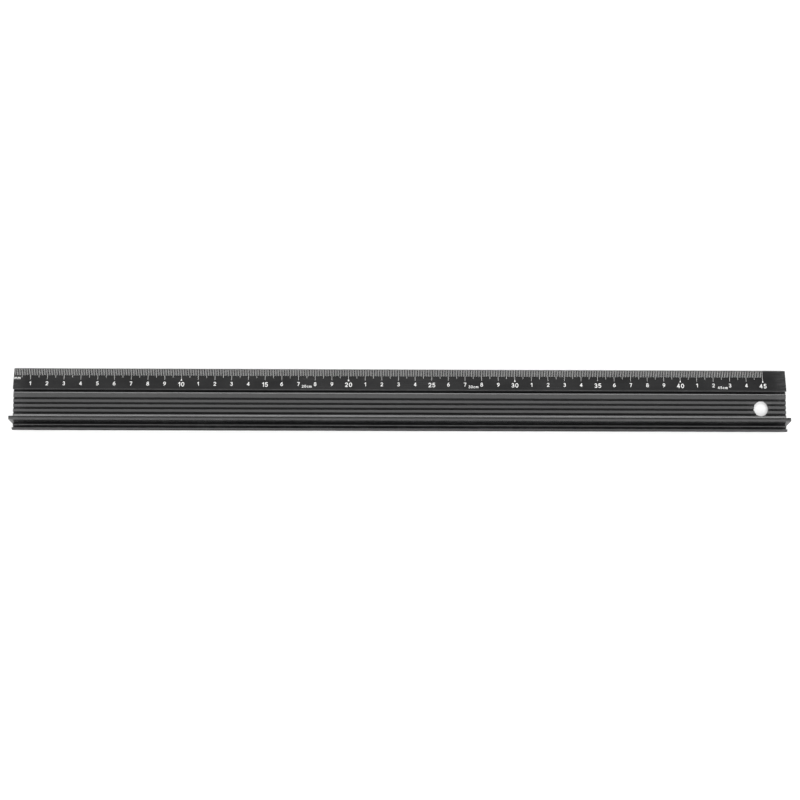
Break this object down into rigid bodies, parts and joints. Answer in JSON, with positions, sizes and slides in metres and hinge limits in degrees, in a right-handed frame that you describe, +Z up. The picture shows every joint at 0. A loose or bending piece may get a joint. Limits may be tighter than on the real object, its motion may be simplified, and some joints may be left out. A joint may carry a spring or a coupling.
{
  "type": "safety cutting ruler",
  "caption": "Black anodised aluminium safety ruler with a raised finger guard, steel cutting strip, ribbed grip plate, bevelled centimetre scale, hang hole and rubber underside strips.",
  "frame": {"origin": "on the table under the middle of the ruler", "axes": "+X along the scale towards the hang hole, +Y from the cutting edge to the scale edge, +Z up"},
  "size_m": [0.464, 0.037, 0.01],
  "materials": {
    "black_anodised_aluminium": "satin",
    "blackened_steel": "satin",
    "grip_rubber": "matte",
    "white_ink": "matte"
  },
  "bodies": {
    "root": {"aluminium_rail": "black_anodised_aluminium", "steel_cutting_strip": "blackened_steel", "front_grip_strip": "grip_rubber", "rear_grip_strip": "grip_rubber", "millimetre_marks": "white_ink", "half_centimetre_marks": "white_ink", "centimetre_marks": "white_ink", "ten_centimetre_pointers": "white_ink", "scale_numerals": "white_ink", "length_labels": "white_ink", "unit_label": "white_ink"}
  },
  "joints": []
}
